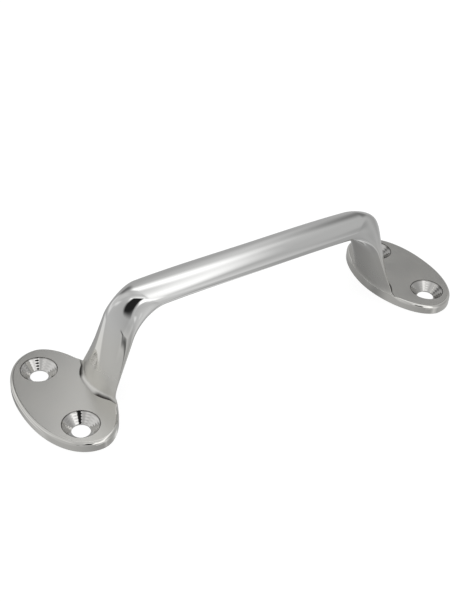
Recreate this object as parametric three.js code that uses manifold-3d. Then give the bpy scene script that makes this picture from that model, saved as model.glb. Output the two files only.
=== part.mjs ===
// Grab rail: a small polished metal lift handle for a boat's deck, hatch or locker.
// Millimetres. X runs along the rail, Y across it, and Z is up from the mounting plane.
// The origin is the middle of the mounting plane, halfway between the two feet.
//
// A straight oval grip bar turns down at both ends into a leg, and each leg fans out onto the
// inner rim of a foot plate that holds two countersunk screw holes. The five sections are joined
// rigidly, face to face. The right half is described below, and the left half is the same half
// turned by 180 degrees about Z.

import * as THREE from 'three';
import { mergeVertices } from 'three/addons/utils/BufferGeometryUtils.js';
import Module from 'manifold-3d';

// ---------- Driving dimensions ----------

const OVERALL_LENGTH = 140;
const OVERALL_HEIGHT = 30;

// The foot's outline is two half superellipses that share one widest line.
const FOOT_WIDTH = 41;
const FOOT_THICKNESS = 2.8;
const FOOT_OUTER_REACH = 12.7; // from the widest line to the rail's end
const FOOT_INNER_REACH = 11.3; // from the widest line to the inner rim
const FOOT_OUTER_POWER = 2.15;
const FOOT_INNER_POWER = 1.85;
const FOOT_EDGE_RADIUS = 0.9;
const FOOT_EDGE_RADIUS_AT_LEG = 0.2; // the inner rim is nearly sharp under the leg
const ROOT_HALF_WIDTH = 9.5; // half of the rim's width that the leg covers
const EDGE_FADE = 3; // beyond the leg, the edge radius comes back over this width

// Two countersunk holes in each foot, for 5 mm screws.
const HOLE_SPAN_X = 119;
const HOLE_SPAN_Y = 24.4;
const HOLE_DIAMETER = 5;
const SINK_DIAMETER = 10;
const HOLE_LAND = 0.35; // height of the straight wall under the cone

// The rail's side view: an outer line and an inner line, each with one rounded corner.
const BAR_THICKNESS = 5.4;
const OUTER_CORNER_X = 44.2;
const OUTER_BASE_X = 50.8; // on the foot's top face
const OUTER_BEND_RADIUS = 9;
const INNER_CORNER_X = 37;
const INNER_BEND_RADIUS = 11.7;
const UPRIGHT_HEIGHT = 3; // the inner face turns upright over this height, to meet the foot's rim

// The rail's section at five stations: mid bar, start of the bend, mid bend, upper leg and base.
const STATIONS = [0, 1, 1.5, 2.2, 3];
const HALF_WIDTH = [5.4, 5.2, 4.7, 5.5, 6]; // across, at mid thickness
const INNER_FLARE = [0, 0.1, 0.5, 0.48, 0.3]; // how much wider the inner side is than the outer
const OUTER_POWER = [2.15, 2.1, 2.3, 2.2, 3]; // 2 is an ellipse, more is squarer
const INNER_POWER = [2.4, 2.6, 3, 4, 5];
const ROOT_FLARE = 0.36; // extra spread of the inner side at the foot, as a share of the width
const ROOT_FLARE_HEIGHT = 6;
const ROOT_FILLET = 1.4;

const JOINT_GAP = 0.05; // left between two sections that are joined face to face

// How finely the surfaces are divided.
const SECTION_SEGMENTS = 36;
const OUTLINE_SEGMENTS = 80;
const HOLE_SEGMENTS = 32;
const BAR_RINGS = 10; // even, so that one ring lies at mid bar
const BEND_RINGS = 10;
const LEG_RINGS = 12;
const LEG_CROWDING = 1.8; // 1 spaces the leg's rings evenly
const ROUND_RINGS = 4;

const FOOT_CENTRE_X = OVERALL_LENGTH / 2 - FOOT_OUTER_REACH;

// ---------- Outlines and lines ----------

const signedPower = (value, power) => Math.sign(value) * Math.abs(value) ** power;

// One of the two half superellipses of the foot's outline, at an angle from the +X direction.
function footOutlinePoint(angle, inset) {
  const outward = Math.cos(angle) > 0;
  const reach = (outward ? FOOT_OUTER_REACH : FOOT_INNER_REACH) - inset;
  const exponent = 2 / (outward ? FOOT_OUTER_POWER : FOOT_INNER_POWER);
  return new THREE.Vector2(
    FOOT_CENTRE_X + reach * signedPower(Math.cos(angle), exponent),
    (FOOT_WIDTH / 2 - inset) * signedPower(Math.sin(angle), exponent),
  );
}

// How far the foot's inner rim falls back from its middle, at a distance y from the middle.
function rimFallback(y) {
  const across = Math.min(1, Math.abs(y) / (FOOT_WIDTH / 2));
  return FOOT_INNER_REACH * (1 - (1 - across ** FOOT_INNER_POWER) ** (1 / FOOT_INNER_POWER));
}

// A line that turns one rounded corner, as a function of the station along it: 0 to 1 is the
// first straight, 1 to 2 the bend and 2 to 3 the second straight.
function roundedCorner(start, corner, end, radius) {
  const back = start.clone().sub(corner).normalize();
  const onward = end.clone().sub(corner).normalize();
  const halfAngle = back.angleTo(onward) / 2;
  const bendStart = corner.clone().addScaledVector(back, radius / Math.tan(halfAngle));
  const bendEnd = corner.clone().addScaledVector(onward, radius / Math.tan(halfAngle));
  const towardsCentre = back.clone().add(onward).normalize();
  const centre = corner.clone().addScaledVector(towardsCentre, radius / Math.sin(halfAngle));
  const sweep = Math.PI - 2 * halfAngle;
  return (station) => {
    if (station <= 1) return start.clone().lerp(bendStart, station);
    if (station >= 2) return bendEnd.clone().lerp(end, station - 2);
    return bendStart.clone().rotateAround(centre, -sweep * (station - 1));
  };
}

// In the side view a Vector2 holds X and Z.
const BASE_Z = FOOT_THICKNESS + JOINT_GAP;
const outerLine = roundedCorner(
  new THREE.Vector2(0, OVERALL_HEIGHT),
  new THREE.Vector2(OUTER_CORNER_X, OVERALL_HEIGHT),
  new THREE.Vector2(OUTER_BASE_X, BASE_Z),
  OUTER_BEND_RADIUS,
);

// The inner line leans towards a point outside the rim, and the upright stretch brings it back.
const INNER_RIM_X = FOOT_CENTRE_X - FOOT_INNER_REACH;
const UNDERSIDE_Z = OVERALL_HEIGHT - BAR_THICKNESS;
const INNER_LEAN = (INNER_RIM_X - INNER_CORNER_X) / (UNDERSIDE_Z - BASE_Z - UPRIGHT_HEIGHT / 2);
const innerLine = roundedCorner(
  new THREE.Vector2(0, UNDERSIDE_Z),
  new THREE.Vector2(INNER_CORNER_X, UNDERSIDE_Z),
  new THREE.Vector2(INNER_RIM_X + (INNER_LEAN * UPRIGHT_HEIGHT) / 2, BASE_Z),
  INNER_BEND_RADIUS,
);

// How far the inner face stands back from its leaning line at a height z.
function uprightShift(z) {
  const below = THREE.MathUtils.clamp(BASE_Z + UPRIGHT_HEIGHT - z, 0, UPRIGHT_HEIGHT);
  return (INNER_LEAN * below ** 2) / (2 * UPRIGHT_HEIGHT);
}

// ---------- The rail's sections ----------

// A smooth curve through one value per station, level at mid bar.
function stationCurve(values) {
  const curve = new THREE.CubicInterpolant(STATIONS, values, 1);
  curve.settings = { endingStart: THREE.ZeroSlopeEnding, endingEnd: THREE.ZeroCurvatureEnding };
  return (station) => curve.evaluate(station)[0];
}
const halfWidthAt = stationCurve(HALF_WIDTH);
const innerFlareAt = stationCurve(INNER_FLARE);
const outerPowerAt = stationCurve(OUTER_POWER);
const innerPowerAt = stationCurve(INNER_POWER);

// How far the fillet at the leg's root stands out at a height z.
function filletReach(z) {
  const above = THREE.MathUtils.clamp(z - BASE_Z, 0, ROOT_FILLET);
  return ROOT_FILLET - Math.sqrt(ROOT_FILLET ** 2 - (ROOT_FILLET - above) ** 2);
}

// One section of the rail, as points in order round it. It lies in the plane that holds Y and
// the line from the inner line to the outer line at this station.
function section(station) {
  const outer = outerLine(station);
  const inner = innerLine(station);
  const halfWidth = halfWidthAt(station);
  const flare = innerFlareAt(station);
  const onLeg = THREE.MathUtils.smoothstep(station, 1, 2);
  const points = [];
  for (let i = 0; i < SECTION_SEGMENTS; i++) {
    const angle = (2 * Math.PI * i) / SECTION_SEGMENTS;
    const exponent = 2 / (Math.sin(angle) > 0 ? outerPowerAt(station) : innerPowerAt(station));
    const across = signedPower(Math.cos(angle), exponent);
    const through = signedPower(Math.sin(angle), exponent); // 1 is outside, -1 is inside
    const innerShare = (1 - through) / 2;
    const spot = inner.clone().lerp(outer, (1 + through) / 2);
    const rootSpread = 1 + ROOT_FLARE * innerShare * Math.exp((BASE_Z - spot.y) / ROOT_FLARE_HEIGHT);
    const reach = filletReach(spot.y);
    const y = halfWidth * across * (1 - flare * through) * rootSpread + across * reach;
    const inward = innerShare * (onLeg * rimFallback(y) - uprightShift(spot.y));
    const x = spot.x + inward + Math.max(0, through) * reach;
    points.push(new THREE.Vector3(x, y, spot.y));
  }
  return points;
}

// ---------- Solids ----------

// A closed surface through rings of equally many points, with a fan across each end.
function loft(rings) {
  const count = rings[0].length;
  const corners = rings.flat();
  const triangles = [];
  for (let ring = 0; ring + 1 < rings.length; ring++) {
    for (let i = 0; i < count; i++) {
      const next = (i + 1) % count;
      const [a, b] = [ring * count + i, ring * count + next];
      triangles.push(a, b, a + count, b, b + count, a + count);
    }
  }
  for (const ring of [0, rings.length - 1]) {
    const middle = rings[ring].reduce((sum, p) => sum.add(p), new THREE.Vector3());
    corners.push(middle.divideScalar(count));
    for (let i = 0; i < count; i++) {
      const [a, b] = [ring * count + i, ring * count + ((i + 1) % count)];
      triangles.push(corners.length - 1, ...(ring === 0 ? [b, a] : [a, b]));
    }
  }
  const geometry = new THREE.BufferGeometry().setFromPoints(corners);
  geometry.setIndex(triangles);
  geometry.computeVertexNormals();
  return geometry;
}

// Evenly spaced numbers from one end to the other, both included.
const steps = (from, to, count) =>
  Array.from({ length: count + 1 }, (_, i) => from + ((to - from) * i) / count);

// The straight bar, from one bend to the other.
function gripBar() {
  const shorten = 1 - JOINT_GAP / outerLine(1).x;
  const rings = steps(-1, 1, BAR_RINGS).map((station) =>
    section(Math.abs(station)).map(
      (p) => new THREE.Vector3(p.x * Math.sign(station) * shorten, p.y, p.z),
    ),
  );
  return loft(rings);
}

// The bend and the leg under it. Its rings crowd together towards the fillet at the root.
function leg() {
  const bend = steps(1, 2, BEND_RINGS);
  const straight = steps(1, 0, LEG_RINGS).map((above) => 3 - above ** LEG_CROWDING);
  return loft([...bend, ...straight.slice(1)].map(section));
}

// The radius of the foot's top edge at an angle round its outline. On the inner side it fades
// away under the leg.
function footEdgeRadius(angle) {
  if (Math.cos(angle) > 0) return FOOT_EDGE_RADIUS;
  const y = Math.abs(footOutlinePoint(angle, 0).y);
  const clear = THREE.MathUtils.smoothstep(y, ROOT_HALF_WIDTH, ROOT_HALF_WIDTH + EDGE_FADE);
  return THREE.MathUtils.lerp(FOOT_EDGE_RADIUS_AT_LEG, FOOT_EDGE_RADIUS, clear);
}

// One ring of the foot's side. The tilt runs from 0 on the upright wall to a right angle on top.
function footRing(tilt, onFloor = false) {
  return steps(0, 2 * Math.PI, OUTLINE_SEGMENTS).slice(1).map((angle) => {
    const radius = footEdgeRadius(angle);
    const { x, y } = footOutlinePoint(angle, radius * (1 - Math.cos(tilt)));
    return new THREE.Vector3(x, y, onFloor ? 0 : FOOT_THICKNESS - radius * (1 - Math.sin(tilt)));
  });
}

// A closed geometry as a manifold solid, which takes only positions with shared corners.
function solidOf(geometry) {
  const shape = geometry.clone();
  shape.deleteAttribute('normal');
  shape.deleteAttribute('uv');
  const merged = mergeVertices(shape, 1e-4);
  return new wasm.Manifold(
    new wasm.Mesh({
      numProp: 3,
      vertProperties: merged.attributes.position.array,
      triVerts: new Uint32Array(merged.index.array),
    }),
  );
}

function geometryOf(solid) {
  const mesh = solid.getMesh();
  const geometry = new THREE.BufferGeometry();
  geometry.setAttribute('position', new THREE.BufferAttribute(mesh.vertProperties, 3));
  geometry.setIndex(new THREE.BufferAttribute(mesh.triVerts, 1));
  geometry.computeVertexNormals();
  return geometry;
}

// The space of one screw hole: a short straight bore under a 90 degree countersink.
function screwHole(x, y) {
  const bore = HOLE_DIAMETER / 2;
  const mouth = SINK_DIAMETER / 2;
  const over = 1; // how far the cutter stands out of the foot on both faces
  const profile = [
    new THREE.Vector2(0, -over),
    new THREE.Vector2(bore, -over),
    new THREE.Vector2(bore, HOLE_LAND),
    new THREE.Vector2(mouth, FOOT_THICKNESS),
    new THREE.Vector2(mouth + over, FOOT_THICKNESS + over),
    new THREE.Vector2(0, FOOT_THICKNESS + over),
  ];
  const geometry = new THREE.LatheGeometry(profile, HOLE_SEGMENTS);
  return geometry.rotateX(Math.PI / 2).translate(x, y, 0);
}

function foot() {
  const tilts = steps(0, Math.PI / 2, ROUND_RINGS);
  let plate = solidOf(loft([footRing(0, true), ...tilts.map((tilt) => footRing(tilt))]));
  for (const side of [-1, 1]) {
    const hole = screwHole(HOLE_SPAN_X / 2, (side * HOLE_SPAN_Y) / 2);
    plate = plate.subtract(solidOf(hole));
  }
  return geometryOf(plate);
}

// ---------- The assembly ----------

const wasm = await Module();
wasm.setup();

function piece(name, geometry) {
  const polishedSteel = new THREE.MeshStandardMaterial({
    color: 0xc4c3be,
    metalness: 1,
    roughness: 0.08,
  });
  const mesh = new THREE.Mesh(geometry, polishedSteel);
  mesh.name = name;
  return mesh;
}

const rail = new THREE.Group();
rail.add(piece('grip_bar', gripBar()));
for (const [side, turn] of [['right', 0], ['left', Math.PI]]) {
  const half = new THREE.Group();
  half.rotation.z = turn;
  half.add(piece(`${side}_leg`, leg()), piece(`${side}_foot`, foot()));
  rail.add(half);
}

export default rail;
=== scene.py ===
"""The looks of the grab rail: a small mirror-polished lift handle for a boat's deck or hatch.

Metres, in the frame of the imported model: X runs along the rail, Y across it, and Z is up from
the mounting plane. Every CAD section is replaced by a finer piece of the same shape. The rail is
one smooth surface, split into the bar and the two legs where the CAD sections join.
"""

import math

import bmesh
import bpy
import numpy as np
from mathutils import Matrix, Vector


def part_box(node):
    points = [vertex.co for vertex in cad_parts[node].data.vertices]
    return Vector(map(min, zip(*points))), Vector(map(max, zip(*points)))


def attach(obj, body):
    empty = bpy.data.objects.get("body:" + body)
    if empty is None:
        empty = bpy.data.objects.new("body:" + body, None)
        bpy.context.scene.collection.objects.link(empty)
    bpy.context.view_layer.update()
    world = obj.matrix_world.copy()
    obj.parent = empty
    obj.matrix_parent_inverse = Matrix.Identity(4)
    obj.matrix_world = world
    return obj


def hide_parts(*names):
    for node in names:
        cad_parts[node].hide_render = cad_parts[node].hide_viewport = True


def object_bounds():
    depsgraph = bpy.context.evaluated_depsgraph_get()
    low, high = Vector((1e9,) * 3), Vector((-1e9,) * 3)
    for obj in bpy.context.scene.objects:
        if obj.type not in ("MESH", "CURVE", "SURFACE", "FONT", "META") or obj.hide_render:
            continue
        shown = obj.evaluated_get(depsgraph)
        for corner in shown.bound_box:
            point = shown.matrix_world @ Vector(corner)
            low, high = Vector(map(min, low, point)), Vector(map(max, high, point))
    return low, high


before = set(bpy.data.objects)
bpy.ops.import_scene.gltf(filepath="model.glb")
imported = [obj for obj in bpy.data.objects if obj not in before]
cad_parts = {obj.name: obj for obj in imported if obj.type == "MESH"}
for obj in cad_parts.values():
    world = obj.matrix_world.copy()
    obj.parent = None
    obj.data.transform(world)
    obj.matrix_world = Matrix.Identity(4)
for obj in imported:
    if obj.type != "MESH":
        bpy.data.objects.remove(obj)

MM = 0.001
cad_low, cad_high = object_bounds()

# ---------- Driving dimensions ----------

HEIGHT = cad_high.z
foot_low, foot_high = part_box("right_foot")
bar_low, bar_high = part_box("grip_bar")
FOOT_HALF_WIDTH = foot_high.y
FOOT_TOP = foot_high.z
INNER_RIM_X = foot_low.x
UNDERSIDE_Z = bar_low.z

# The foot's outline is two half superellipses that share one widest line.
FOOT_OUTER_REACH = 12.7 * MM
FOOT_INNER_REACH = 11.3 * MM
FOOT_OUTER_POWER = 2.15
FOOT_INNER_POWER = 1.85
FOOT_CENTRE_X = foot_high.x - FOOT_OUTER_REACH
FOOT_EDGE_RADIUS = 0.9 * MM
FOOT_EDGE_RADIUS_AT_LEG = 0.02 * MM  # the inner rim runs straight on into the leg
ROOT_HALF_WIDTH = 9.5 * MM
EDGE_FADE = 3 * MM  # beyond the leg, the edge radius comes back over this width
FOOT_BOTTOM_RADIUS = 0.25 * MM

# The screw holes, as the distances of their axes from the middle of the rail.
HOLE_X = 59.5 * MM
HOLE_Y = 12.2 * MM
HOLE_RADIUS = 2.5 * MM
SINK_RADIUS = 5 * MM
HOLE_LAND = 0.35 * MM
SINK_LIP_RADIUS = 0.12 * MM

# The rail's side view: an outer line and an inner line, each with one rounded corner.
OUTER_CORNER_X = 44.2 * MM
OUTER_BASE_X = 50.8 * MM
OUTER_BEND_RADIUS = 9 * MM
INNER_CORNER_X = 37 * MM
INNER_BEND_RADIUS = 11.7 * MM
UPRIGHT_HEIGHT = 3 * MM  # the inner face turns upright over this height, to meet the rim

# The rail's section at five stations: mid bar, start and middle of the bend, upper leg, base.
STATIONS = (0, 1, 1.5, 2.2, 3)
HALF_WIDTH = np.multiply((5.4, 5.2, 4.7, 5.5, 6.0), MM)
INNER_FLARE = (0, 0.1, 0.5, 0.48, 0.3)  # the inner side is wider, the outer narrower, by this share
OUTER_POWER = (2.15, 2.1, 2.3, 2.2, 3)  # superellipse exponents: 2 is round, more is boxier
INNER_POWER = (2.4, 2.6, 3, 4, 5)
ROOT_FLARE = 0.36  # the inner side is wider again by this share at the foot
ROOT_FLARE_HEIGHT = 6 * MM
ROOT_FILLET = 1.1 * MM

# How finely the surfaces are divided.
SECTION_SEGMENTS = 160
BAR_RINGS = 60
BEND_RINGS = 40
LEG_RINGS = 40
FILLET_RINGS = 14
OUTLINE_SEGMENTS = 240
HOLE_SEGMENTS = 96
ROUND_RINGS = 8


# ---------- Outlines and lines ----------


def superellipse(angles, powers):
    """X and Y on the unit superellipse, in the given directions from its centre."""
    cosine, sine = np.cos(angles), np.sin(angles)
    scale = (np.abs(cosine) ** powers + np.abs(sine) ** powers) ** (-1 / powers)
    return cosine * scale, sine * scale


def foot_outline(angles, inset):
    """X and Y of the foot's outline, moved inwards by an inset."""
    outward = np.cos(angles) > 0
    x, y = superellipse(angles, np.where(outward, FOOT_OUTER_POWER, FOOT_INNER_POWER))
    reach = np.where(outward, FOOT_OUTER_REACH, FOOT_INNER_REACH) - inset
    return FOOT_CENTRE_X + reach * x, (FOOT_HALF_WIDTH - inset) * y


def rim_fallback(y):
    """How far the foot's inner rim falls back from its middle, at a distance y from it."""
    across = np.minimum(1, np.abs(y) / FOOT_HALF_WIDTH)
    return FOOT_INNER_REACH * (1 - (1 - across**FOOT_INNER_POWER) ** (1 / FOOT_INNER_POWER))


def rounded_corner(stations, start, corner, end, radius):
    """Points along a line with one rounded corner. Stations 0 to 1 are the first straight,
    1 to 2 the bend and 2 to 3 the second straight."""
    start, corner, end = map(np.array, (start, corner, end))
    back = (start - corner) / np.linalg.norm(start - corner)
    onward = (end - corner) / np.linalg.norm(end - corner)
    half_angle = math.acos(back @ onward) / 2
    bend_start = corner + back * radius / math.tan(half_angle)
    bend_end = corner + onward * radius / math.tan(half_angle)
    bisector = (back + onward) / np.linalg.norm(back + onward)
    centre = corner + bisector * radius / math.sin(half_angle)
    column = stations[:, None]
    turned = (math.pi - 2 * half_angle) * (column - 1)
    outward = (bend_start - centre) / radius
    bend = centre + radius * (outward * np.cos(turned) - back * np.sin(turned))
    first = start + (bend_start - start) * column
    second = bend_end + (end - bend_end) * (column - 2)
    return np.where(column < 1, first, np.where(column > 2, second, bend))


def station_curve(values):
    """A cubic spline through one value per station, level at mid bar, as a function."""
    knots, values = np.array(STATIONS, float), np.array(values, float)
    gaps, slopes = np.diff(knots), np.diff(values) / np.diff(knots)
    system = np.zeros((len(knots), len(knots)))
    target = np.zeros(len(knots))
    system[0, :2] = 2 * gaps[0], gaps[0]
    target[0] = 6 * slopes[0]
    for i in range(1, len(knots) - 1):
        system[i, i - 1 : i + 2] = gaps[i - 1], 2 * (gaps[i - 1] + gaps[i]), gaps[i]
        target[i] = 6 * (slopes[i] - slopes[i - 1])
    system[-1, -1] = 1
    curvatures = np.linalg.solve(system, target)

    def value_at(stations):
        i = np.clip(np.searchsorted(knots, stations) - 1, 0, len(gaps) - 1)
        gap, before, after = gaps[i], stations - knots[i], knots[i + 1] - stations
        bent = curvatures[i] * after**3 + curvatures[i + 1] * before**3
        left = (values[i] / gap - curvatures[i] * gap / 6) * after
        right = (values[i + 1] / gap - curvatures[i + 1] * gap / 6) * before
        return bent / (6 * gap) + left + right

    return value_at


def smoothstep(values, low, high):
    share = np.clip((values - low) / (high - low), 0, 1)
    return share * share * (3 - 2 * share)


# ---------- The rail's surface ----------

INNER_LEAN = (INNER_RIM_X - INNER_CORNER_X) / (UNDERSIDE_Z - FOOT_TOP - UPRIGHT_HEIGHT / 2)
INNER_BASE_X = INNER_RIM_X + INNER_LEAN * UPRIGHT_HEIGHT / 2


def outer_line(stations):
    """The rail's upper and outer edge in the side view, as X and Z."""
    start, corner, end = (0, HEIGHT), (OUTER_CORNER_X, HEIGHT), (OUTER_BASE_X, FOOT_TOP)
    return rounded_corner(stations, start, corner, end, OUTER_BEND_RADIUS)


def inner_line(stations):
    """The rail's lower and inner edge in the side view, before its end is turned upright."""
    start, corner, end = (0, UNDERSIDE_Z), (INNER_CORNER_X, UNDERSIDE_Z), (INNER_BASE_X, FOOT_TOP)
    return rounded_corner(stations, start, corner, end, INNER_BEND_RADIUS)


def half_rail_points(stations):
    """The right half of the rail's surface: one ring of points for each station."""
    column = stations[:, None]
    outer, inner = outer_line(stations), inner_line(stations)
    angles = 2 * math.pi * np.arange(SECTION_SEGMENTS) / SECTION_SEGMENTS
    outer_power, inner_power = station_curve(OUTER_POWER)(column), station_curve(INNER_POWER)(column)
    powers = np.where(np.sin(angles) > 0, outer_power, inner_power)
    across, through = superellipse(angles, powers)  # through is 1 on the outside, -1 on the inside
    inner_share = (1 - through) / 2
    spot = inner[:, None] + (outer - inner)[:, None] * ((1 + through) / 2)[..., None]
    x, z = spot[..., 0], spot[..., 1]
    spread = 1 + ROOT_FLARE * inner_share * np.exp((FOOT_TOP - z) / ROOT_FLARE_HEIGHT)
    above = np.clip(z - FOOT_TOP, 0, ROOT_FILLET)
    reach = ROOT_FILLET - np.sqrt(ROOT_FILLET**2 - (ROOT_FILLET - above) ** 2)
    width = station_curve(HALF_WIDTH)(column) * (1 - station_curve(INNER_FLARE)(column) * through)
    y = across * (width * spread + reach)
    below = np.clip(FOOT_TOP + UPRIGHT_HEIGHT - z, 0, UPRIGHT_HEIGHT)
    upright_shift = INNER_LEAN * below**2 / (2 * UPRIGHT_HEIGHT)
    on_leg = smoothstep(column, 1, 2)
    x = x + inner_share * (on_leg * rim_fallback(y) - upright_shift) + np.maximum(0, through) * reach
    return np.stack((x, y, z), -1)


def leg_stations():
    """Stations from the end of the bend to the foot, close together in the fillet."""
    bend_end = outer_line(np.array([2.0]))[0]
    leg_height = bend_end[1] - FOOT_TOP
    quarter = np.linspace(0, math.pi / 2, FILLET_RINGS + 1)
    fillet = 3 - ROOT_FILLET * (1 - np.sin(quarter)) / leg_height
    return np.concatenate((np.linspace(2, fillet[0], LEG_RINGS + 1)[1:-1], fillet))


def rail_surface():
    """The whole rail's points and normals, ring by ring from the left foot to the right one."""
    bar = np.linspace(0, 1, BAR_RINGS + 1)
    bend = np.linspace(1, 2, BEND_RINGS + 1)[1:]
    right = half_rail_points(np.concatenate((bar, bend, leg_stations())))
    left = right[:0:-1] * (-1, 1, 1)
    points = np.concatenate((left, right))
    along = np.gradient(points, axis=0, edge_order=2)
    around = np.roll(points, -1, 1) - np.roll(points, 1, 1)
    normals = np.cross(around, along)
    normals /= np.linalg.norm(normals, axis=-1, keepdims=True)
    return points, normals


# ---------- Meshes ----------


def make_piece(name, mesh, normals, materials, node):
    """Turns a mesh with one normal for each vertex into a piece that stands for a CAD node.
    Its flat faces keep their own normals."""
    for material in materials:
        mesh.materials.append(material)
    corner_normals = [None] * len(mesh.loops)
    for face in mesh.polygons:
        for corner in face.loop_indices:
            vertex = mesh.loops[corner].vertex_index
            corner_normals[corner] = normals[vertex] if face.use_smooth else face.normal
    mesh.normals_split_custom_set(corner_normals)
    piece = bpy.data.objects.new(name, mesh)
    bpy.context.scene.collection.objects.link(piece)
    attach(piece, "root")
    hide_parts(node)
    return piece


def loft_mesh(name, points):
    """A closed mesh through rings of equally many points, with a flat cap on each end."""
    rings, count = points.shape[:2]
    faces = []
    for ring in range(rings - 1):
        for i in range(count):
            a, b = ring * count + i, ring * count + (i + 1) % count
            faces.append((a, b, b + count, a + count))
    faces.append(tuple(range(count - 1, -1, -1)))
    faces.append(tuple(range((rings - 1) * count, rings * count)))
    mesh = bpy.data.meshes.new(name)
    mesh.from_pydata(points.reshape(-1, 3).tolist(), [], faces)
    smooth = [True] * (len(faces) - 2) + [False] * 2
    mesh.polygons.foreach_set("use_smooth", smooth)
    return mesh


def foot_edge_radius(angles):
    """The radius of the foot's top edge. On the inner side it fades away under the leg."""
    y = np.abs(foot_outline(angles, 0)[1])
    clear = smoothstep(y, ROOT_HALF_WIDTH, ROOT_HALF_WIDTH + EDGE_FADE)
    faded = FOOT_EDGE_RADIUS_AT_LEG + (FOOT_EDGE_RADIUS - FOOT_EDGE_RADIUS_AT_LEG) * clear
    return np.where(np.cos(angles) > 0, FOOT_EDGE_RADIUS, faded)


def foot_side_rings():
    """Rings up the foot's side, from its underside to its top face, each with its normals."""
    angles = 2 * math.pi * np.arange(OUTLINE_SEGMENTS) / OUTLINE_SEGMENTS
    x, y = foot_outline(angles, 0)
    outward = np.stack((np.roll(y, -1) - np.roll(y, 1), np.roll(x, 1) - np.roll(x, -1)), -1)
    outward /= np.linalg.norm(outward, axis=-1, keepdims=True)
    quarter = np.linspace(0, math.pi / 2, ROUND_RINGS + 1)
    bottom = [(FOOT_BOTTOM_RADIUS, tilt, -1) for tilt in quarter[::-1]]
    top = [(foot_edge_radius(angles), tilt, 1) for tilt in quarter]
    for radius, tilt, side in bottom + top:
        x, y = foot_outline(angles, radius * (1 - math.cos(tilt)))
        drop = radius * (1 - math.sin(tilt)) * np.ones_like(x)
        z = FOOT_TOP - drop if side > 0 else drop
        normal = np.column_stack((outward * math.cos(tilt), np.full_like(x, side * math.sin(tilt))))
        yield np.stack((x, y, z), -1), normal


def hole_profile():
    """Radius, height and slope angle down a screw hole, from the top face to the underside.
    The angle is that of the surface's normal above the horizon."""
    cone = math.atan2(SINK_RADIUS - HOLE_RADIUS, FOOT_TOP - HOLE_LAND)
    lip_in = SINK_LIP_RADIUS * math.tan((math.pi / 2 - cone) / 2)
    lip_x, lip_z = SINK_RADIUS + lip_in, FOOT_TOP - SINK_LIP_RADIUS
    profile = []
    for angle in np.linspace(math.pi / 2, cone, ROUND_RINGS):
        radius = lip_x - SINK_LIP_RADIUS * math.cos(angle)
        profile.append((radius, lip_z + SINK_LIP_RADIUS * math.sin(angle), angle))
    profile.append((HOLE_RADIUS, HOLE_LAND, cone))
    profile.append((HOLE_RADIUS, HOLE_LAND, 0))
    profile.append((HOLE_RADIUS, 0, 0))
    return profile


# The places of the foot's materials in its list.
RIM, TURNED, SATIN = range(3)


def build_foot(name, node, materials, turn):
    """A foot plate with its two countersunk holes. Turn is +1 for the right foot and -1 for
    the left one, which is the right one turned half round."""
    shape = bmesh.new()
    normals = []

    def add_ring(points, ring_normals):
        ring = [shape.verts.new(p) for p in points.tolist()]
        normals.extend(ring_normals.tolist())
        return ring

    def bridge(low, high, material):
        for i in range(len(low)):
            after = (i + 1) % len(low)
            face = shape.faces.new((low[i], low[after], high[after], high[i]))
            face.smooth = True
            face.material_index = material

    rings = [add_ring(points, ring_normals) for points, ring_normals in foot_side_rings()]
    for low, high in zip(rings, rings[1:]):
        bridge(low, high, RIM)
    tops, bottoms = [rings[-1]], [rings[0]]
    around = 2 * math.pi * np.arange(HOLE_SEGMENTS) / HOLE_SEGMENTS
    circle = np.stack((np.cos(around), np.sin(around), np.zeros(HOLE_SEGMENTS)), -1)
    for side in (-1, 1):
        hole = []
        for radius, z, angle in hole_profile():
            points = radius * circle + (HOLE_X, side * HOLE_Y, z)
            hole.append(add_ring(points, -math.cos(angle) * circle + (0, 0, math.sin(angle))))
        for upper, lower in zip(hole, hole[1:]):
            if upper[0].co != lower[0].co:  # rings in one place only make a sharp edge
                bridge(upper, lower, TURNED)
        tops.append(hole[0])
        bottoms.append(hole[-1])
    for loops in (tops, bottoms):
        edges = []
        for ring in loops:
            for i, vertex in enumerate(ring):
                pair = (vertex, ring[(i + 1) % len(ring)])
                edges.append(shape.edges.get(pair) or shape.edges.new(pair))
        filled = bmesh.ops.triangle_fill(shape, use_beauty=True, edges=edges)
        for face in filled["geom"]:
            if isinstance(face, bmesh.types.BMFace):
                face.smooth = False
                face.material_index = SATIN
    shape.verts.index_update()
    if turn < 0:
        bmesh.ops.rotate(shape, verts=shape.verts, matrix=Matrix.Rotation(math.pi, 3, "Z"))
        normals = (np.array(normals) * (-1, -1, 1)).tolist()
    bmesh.ops.recalc_face_normals(shape, faces=shape.faces)
    mesh = bpy.data.meshes.new(name)
    shape.to_mesh(mesh)
    shape.free()
    return make_piece(name, mesh, normals, materials, node)


# ---------- Materials ----------

HANDLED_CHROME = (0.77, 0.77, 0.762, 1)
CHROME = (0.78, 0.775, 0.75, 1)
CHROME_TARNISHED = (0.75, 0.738, 0.7, 1)
# The turned chrome is darker than the polished chrome as painted shade in the countersinks.
TURNED_CHROME = (0.72, 0.715, 0.7, 1)
TURNED_CHROME_TARNISHED = (0.66, 0.65, 0.63, 1)
# The colour of painted shade: in the crevices at the legs' roots and under the countersinks' lips.
PAINTED_SHADE_COLOR = (0.08, 0.075, 0.07, 1)

MIRROR_ROUGHNESS = 0.03
TURNED_ROUGHNESS = 0.05
SATIN_ROUGHNESS = 0.32
SMUDGE_SIZE = 9 * MM
SMUDGE_CONTRAST = 0.5  # from the smoothest to the roughest smudge, as a share of the roughness
RIPPLE_SIZE = 7 * MM
MIRROR_RIPPLE_HEIGHT = 0.008 * MM
SATIN_RIPPLE_HEIGHT = 0.012 * MM
GROOVE_PITCH = 0.55 * MM
GROOVE_HEIGHT = 0.007 * MM

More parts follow.
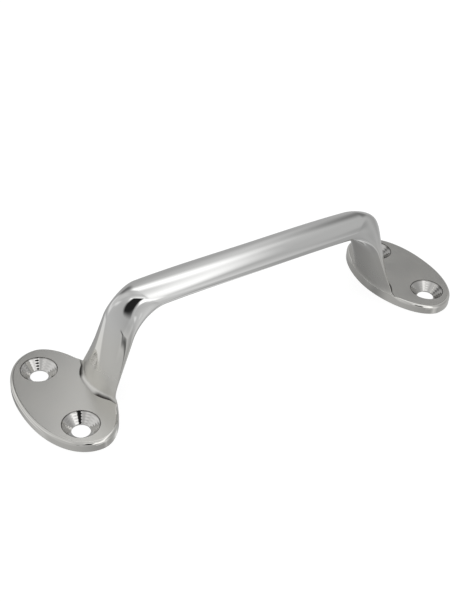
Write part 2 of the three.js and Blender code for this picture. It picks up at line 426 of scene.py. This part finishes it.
SATIN_TOP = FOOT_TOP + 3 * MM  # the legs are satin up to here
MIRROR_BOTTOM = FOOT_TOP + 12 * MM  # and mirrors from here up
# How far the painted shade under each countersink's lip reaches inwards.
LIP_SHADE_REACH = 0.35 * MM
# The painted shade in the crevice where each leg's front and back meet the foot.
CREVICE_SHADE_HEIGHT = 0.7 * MM
CREVICE_SHADE_X = (47.5 * MM, 49 * MM)  # it starts at the first distance, and is full at the second
CREVICE_SHADE_Y = (3 * MM, 5 * MM)


class Graph:
    """Adds nodes to a node tree. Each call returns an output of the new node."""

    def __init__(self, tree):
        self.tree = tree

    def add(self, kind, inputs=(), output=0, **settings):
        node = self.tree.nodes.new("ShaderNode" + kind)
        for name, value in settings.items():
            setattr(node, name, value)
        for socket, value in zip(node.inputs, inputs):
            if isinstance(value, bpy.types.NodeSocket):
                self.tree.links.new(value, socket)
            elif value is not None:
                socket.default_value = value
        return node.outputs[output]

    def math(self, operation, *values):
        return self.add("Math", values, operation=operation)

    def dot(self, vector, constant):
        return self.add("VectorMath", (vector, constant), output=1, operation="DOT_PRODUCT")

    def noise(self, vector, size, detail=2.0):
        return self.add("TexNoise", (vector, None, 1 / size, detail))

    def smoothstep(self, value, low, high):
        return self.add("MapRange", (value, low, high, 0.0, 1.0), interpolation_type="SMOOTHSTEP")


def metal(name, make_color, make_roughness, make_height, height):
    """A plated metal, slightly uneven in colour and polish, with a relief of the given height.
    Each make function adds nodes for one property, from the place on the object and the smudges."""
    material = bpy.data.materials.new(name)
    material.use_nodes = True
    tree = material.node_tree
    graph = Graph(tree)
    place = graph.add("TexCoord", output=3)
    smudges = graph.noise(place, SMUDGE_SIZE)
    shader = tree.nodes["Principled BSDF"]
    shader.inputs["Metallic"].default_value = 1
    roughness = make_roughness(graph, place)
    share = graph.math("MULTIPLY_ADD", smudges, SMUDGE_CONTRAST, 1 - SMUDGE_CONTRAST / 2)
    uneven = graph.math("MULTIPLY", roughness, share)
    relief = graph.add("Bump", (1.0, height, None, make_height(graph, place)))
    color = make_color(graph, place, smudges)
    for socket, value in (("Base Color", color), ("Roughness", uneven), ("Normal", relief)):
        tree.links.new(value, shader.inputs[socket])
    return material


def plain_chrome(graph, place, smudges):
    return graph.add("MixRGB", (smudges, CHROME, CHROME_TARNISHED))


def rail_chrome(graph, place, smudges):
    """Chrome that handling keeps clean on the bar, with painted shade in the crevice on top of the
    foot, towards the leg's front and back."""
    from_middle = graph.add("VectorMath", (place,), operation="ABSOLUTE")
    distance = graph.add("SeparateXYZ", (from_middle,)).node.outputs
    handled = graph.smoothstep(distance["Z"], MIRROR_BOTTOM, UNDERSIDE_Z)
    clean = graph.add("MixRGB", (handled, plain_chrome(graph, place, smudges), HANDLED_CHROME))
    # Painted shade: darkens the crevice low on the leg's front and back, where it meets the foot.
    painted_shade = graph.smoothstep(distance["Z"], FOOT_TOP + CREVICE_SHADE_HEIGHT, FOOT_TOP)
    for axis, reach in (("X", CREVICE_SHADE_X), ("Y", CREVICE_SHADE_Y)):
        painted_shade = graph.math("MULTIPLY", painted_shade, graph.smoothstep(distance[axis], *reach))
    return graph.add("MixRGB", (painted_shade, clean, PAINTED_SHADE_COLOR))


def turned_chrome(graph, place, smudges):
    """Slightly darker than the polished metal as painted shade in the countersinks, with a painted
    dark line of shade under each countersink's lip.
    """
    clean = graph.add("MixRGB", (smudges, TURNED_CHROME, TURNED_CHROME_TARNISHED))
    # Painted shade: a dark line under each countersink's lip.
    painted_shade = graph.smoothstep(hole_distance(graph, place), SINK_RADIUS - LIP_SHADE_REACH, SINK_RADIUS)
    return graph.add("MixRGB", (painted_shade, clean, PAINTED_SHADE_COLOR))


def even(value):
    """A property that has the same value everywhere."""
    return lambda graph, place: value


def fading_polish(graph, place):
    """A mirror finish that turns satin at the foot, where a polishing wheel can't reach."""
    height = graph.add("SeparateXYZ", (place,), output=2)
    return graph.add(
        "MapRange",
        (height, SATIN_TOP, MIRROR_BOTTOM, SATIN_ROUGHNESS, MIRROR_ROUGHNESS),
        interpolation_type="SMOOTHSTEP",
    )


def ripples(graph, place):
    """The slight waves that polishing by hand leaves."""
    return graph.noise(place, RIPPLE_SIZE)


def hole_distance(graph, place):
    """The distance from the nearest screw hole's axis."""
    mirrored = graph.add("VectorMath", (place,), operation="ABSOLUTE")
    from_hole = graph.add("VectorMath", (mirrored, (HOLE_X, HOLE_Y, 0)), operation="SUBTRACT")
    level = graph.add("VectorMath", (from_hole, (1, 1, 0)), operation="MULTIPLY")
    return graph.add("VectorMath", (level,), output=1, operation="LENGTH")


def turned_grooves(graph, place):
    """Rings round each screw hole, left by the countersinking tool."""
    turns = graph.math("MULTIPLY", hole_distance(graph, place), 2 * math.pi / GROOVE_PITCH)
    return graph.math("SINE", turns)


# ---------- The object ----------

rail = metal("rail_chrome", rail_chrome, fading_polish, ripples, MIRROR_RIPPLE_HEIGHT)
rim = metal("rim_chrome", plain_chrome, even(MIRROR_ROUGHNESS), ripples, MIRROR_RIPPLE_HEIGHT)
turned = metal("turned_chrome", turned_chrome, even(TURNED_ROUGHNESS), turned_grooves, GROOVE_HEIGHT)
satin = metal("satin_chrome", plain_chrome, even(SATIN_ROUGHNESS), ripples, SATIN_RIPPLE_HEIGHT)
foot_materials = [rim, turned, satin]

points, normals = rail_surface()
middle = len(points) // 2
for name, node, first, last in (
    ("left_leg_skin", "left_leg", 0, middle - BAR_RINGS),
    ("grip_bar_skin", "grip_bar", middle - BAR_RINGS, middle + BAR_RINGS),
    ("right_leg_skin", "right_leg", middle + BAR_RINGS, len(points) - 1),
):
    rings = slice(first, last + 1)
    ring_normals = normals[rings].reshape(-1, 3).tolist()
    make_piece(name, loft_mesh(name, points[rings]), ring_normals, [rail], node)
build_foot("right_foot_skin", "right_foot", foot_materials, 1)
build_foot("left_foot_skin", "left_foot", foot_materials, -1)

# ---------- The stage ----------

FLOOR_HALF_SIZE = 3
FLOOR_DROP = 0.05 * MM
FLOOR_COLOR = (0.2, 0.2, 0.2, 1)
FLOOR_GLOW = 0.85
WHITE = (1, 1, 1, 1)
TENT_RADIUS = 0.257
TENT_SUBDIVISIONS = 6
LEAST_DEPTH = 0.001  # a card shows only where the cosine to its direction is over twice this

# What the polished metal reflects is a light tent round the object. Its cloth's brightness towards
# each side:
TENT_SIDES = {
    "right": (1, 0, 0, 0.52),
    "back": (0, 1, 0, 0.43),
    "top": (0, 0, 1, 0.55),
    "left": (-1, 0, 0, 0.57),
    "front": (0, -1, 0, 0.39),
    "bottom": (0, 0, -1, 0.32),
}
# Soft-edged cards on the tent: azimuth from +Y towards +X, elevation and roll in degrees, half
# width, half height and softness as tangents, and brightness. A later card covers an earlier one.
# The sides and most cards began as a numerical fit of the rail's reflections to the photo's
# brightness. They were rounded, and back_bright, back_dim, far_back, window_right, left_wall,
# table_left, dark_edge and camera were set one by one.
CARDS = {
    "ceiling_strip": (151, 62, 42, 0.14, 1.44, 0.23, 1.39),
    "front_strip": (175, 30, 64, 1.1, 0.29, 1.15, 0.99),
    "table_edge": (-124, -3, 57, 0.04, 0.73, 0.12, 0.63),
    "ceiling_back": (37, 61, 86, 0.64, 0.13, 0.63, 0.81),
    "right_wall": (76, 14, 32, 0.16, 0.47, 0.34, 0.39),
    "table_front": (-174, -26, -16, 0.15, 0.1, 0.11, 0.91),
    "back_bright": (27, 54, 0, 0.2, 0.13, 0.25, 1.45),
    "back_dim": (-6, 38, 0, 0.25, 0.2, 0.3, 0.18),
    "far_back": (57, 30, 0, 0.2, 0.16, 0.25, 0.22),
    "window_left": (-149, 46, 1, 0.21, 0.19, 0.09, 1.31),
    "window_right": (-100, 38, 0, 0.18, 0.1, 0.2, 0.85),
    "window": (-174, 31, -6, 0.31, 0.19, 0.08, 1.42),
    "table_shade": (139, -39, 52, 0.23, 0.06, 0.07, 0.48),
    "table_right": (98, -62, -10, 0.61, 0.07, 0.29, 0.92),
    "right_front": (114, 20, 17, 0.29, 0.29, 0.39, 0.39),
    "front_low": (162, -14, -13, 0.09, 0.67, 0.44, 0.73),
    "table_back": (-14, -48, 87, 0.21, 0.86, 0.58, 0.23),
    "left_wall": (-58, 24, 4, 0.5, 0.27, 0.39, 0.85),
    "left_ceiling": (-61, 49, -2, 0.31, 0.45, 0.3, 0.65),
    "table_left": (-52, -22, 0, 0.33, 0.25, 0.2, 0.82),
    "front_wall": (140, 4, 0, 0.1, 0.11, 0.2, 0.57),
    "dark_edge": (-125, 1, -35, 0.045, 0.07, 0.08, 0.12),
    "camera": (-146, 36, 12, 0.17, 0.29, 0.09, 0.02),
}


def card_axes(azimuth, elevation, roll):
    """The directions towards a card, to its right and to its top."""
    azimuth, elevation, roll = map(math.radians, (azimuth, elevation, roll))
    forward = Vector(
        (
            math.sin(azimuth) * math.cos(elevation),
            math.cos(azimuth) * math.cos(elevation),
            math.sin(elevation),
        )
    )
    level = Vector((math.cos(azimuth), -math.sin(azimuth), 0))
    steep = level.cross(forward)
    return (
        forward,
        math.cos(roll) * level + math.sin(roll) * steep,
        math.cos(roll) * steep - math.sin(roll) * level,
    )


def card_mask(graph, direction, azimuth, elevation, roll, half_width, half_height, softness):
    """1 on the card and 0 off it, for a direction."""
    forward, level, steep = card_axes(azimuth, elevation, roll)
    depth = graph.math("MAXIMUM", graph.dot(direction, forward), LEAST_DEPTH)
    mask = graph.math("GREATER_THAN", depth, 2 * LEAST_DEPTH)
    for axis, half in ((level, half_width), (steep, half_height)):
        offset = graph.math("ABSOLUTE", graph.math("DIVIDE", graph.dot(direction, axis), depth))
        edge = graph.smoothstep(offset, half + softness / 2, half - softness / 2)
        mask = graph.math("MULTIPLY", mask, edge)
    return mask


def tent_material():
    material = bpy.data.materials.new("tent_cloth")
    material.use_nodes = True
    tree = material.node_tree
    tree.nodes.clear()
    graph = Graph(tree)
    place = graph.add("TexCoord", output=3)
    direction = graph.add("VectorMath", (place,), operation="NORMALIZE")
    brightness = 0.0
    for x, y, z, side in TENT_SIDES.values():
        towards = graph.math("MAXIMUM", graph.dot(direction, (x, y, z)), 0.0)
        share = graph.math("MULTIPLY", graph.math("MULTIPLY", towards, towards), side)
        brightness = graph.math("ADD", brightness, share)
    for *card, level in CARDS.values():
        mask = card_mask(graph, direction, *card)
        change = graph.math("SUBTRACT", level, brightness)
        brightness = graph.math("MULTIPLY_ADD", mask, change, brightness)
    glow = graph.add("Emission", (WHITE, brightness))
    output = tree.nodes.new("ShaderNodeOutputMaterial")
    tree.links.new(glow, output.inputs["Surface"])
    return material


def stage_object(name, mesh, material):
    mesh.materials.append(material)
    thing = bpy.data.objects.new(name, mesh)
    bpy.context.scene.collection.objects.link(thing)
    return thing


def build_tent():
    """The tent shows only in reflections, so that the camera sees a plain pale scene."""
    shape = bmesh.new()
    bmesh.ops.create_icosphere(shape, subdivisions=TENT_SUBDIVISIONS, radius=TENT_RADIUS)
    mesh = bpy.data.meshes.new("light_tent")
    shape.to_mesh(mesh)
    shape.free()
    tent = stage_object("light_tent", mesh, tent_material())
    tent.visible_camera = False
    tent.visible_diffuse = False
    tent.visible_shadow = False


def build_floor():
    """The floor glows a little, so that it stays pale right up to the object."""
    half, z = FLOOR_HALF_SIZE, -FLOOR_DROP
    corners = [(-half, -half, z), (half, -half, z), (half, half, z), (-half, half, z)]
    mesh = bpy.data.meshes.new("floor")
    mesh.from_pydata(corners, [], [(0, 1, 2, 3)])
    material = bpy.data.materials.new("floor_paint")
    material.use_nodes = True
    shader = material.node_tree.nodes["Principled BSDF"]
    shader.inputs["Base Color"].default_value = FLOOR_COLOR
    shader.inputs["Roughness"].default_value = 1
    shader.inputs["Emission Color"].default_value = WHITE
    shader.inputs["Emission Strength"].default_value = FLOOR_GLOW
    floor = stage_object("floor", mesh, material)
    floor.visible_glossy = False


def build_world():
    """An even white surrounding."""
    world = bpy.data.worlds.new("studio")
    world.use_nodes = True
    background = world.node_tree.nodes["Background"]
    background.inputs["Color"].default_value = WHITE
    background.inputs["Strength"].default_value = 1
    bpy.context.scene.world = world


build_floor()
build_tent()
build_world()

# ---------- The camera ----------

LENS = 62.36  # millimetres, for a 36 mm sensor along the picture's long side
NEAREST_VISIBLE = 10 * MM
CAMERA_YAW = 0.639  # radians, from looking along +Y towards +X
CAMERA_PITCH = 0.6429  # radians, below the horizon
CAMERA_ROLL = 0.0795
CAMERA_TARGET = Vector((5.0153, 15.4287, 0)) * MM
CAMERA_DISTANCE = 315.371 * MM


def build_camera():
    data = bpy.data.cameras.new("camera")
    data.lens = LENS
    data.clip_start = NEAREST_VISIBLE
    camera = bpy.data.objects.new("camera", data)
    bpy.context.scene.collection.objects.link(camera)
    forward = Vector(
        (
            math.sin(CAMERA_YAW) * math.cos(CAMERA_PITCH),
            math.cos(CAMERA_YAW) * math.cos(CAMERA_PITCH),
            -math.sin(CAMERA_PITCH),
        )
    )
    right = Vector((math.cos(CAMERA_YAW), -math.sin(CAMERA_YAW), 0))
    up = right.cross(forward)
    rolled_right = math.cos(CAMERA_ROLL) * right + math.sin(CAMERA_ROLL) * up
    rolled_up = math.cos(CAMERA_ROLL) * up - math.sin(CAMERA_ROLL) * right
    turn = Matrix((rolled_right, rolled_up, -forward)).transposed()
    place = Matrix.Translation(CAMERA_TARGET - forward * CAMERA_DISTANCE)
    camera.matrix_world = place @ turn.to_4x4()
    bpy.context.scene.camera = camera


build_camera()
bpy.context.scene.view_settings.view_transform = "Standard"
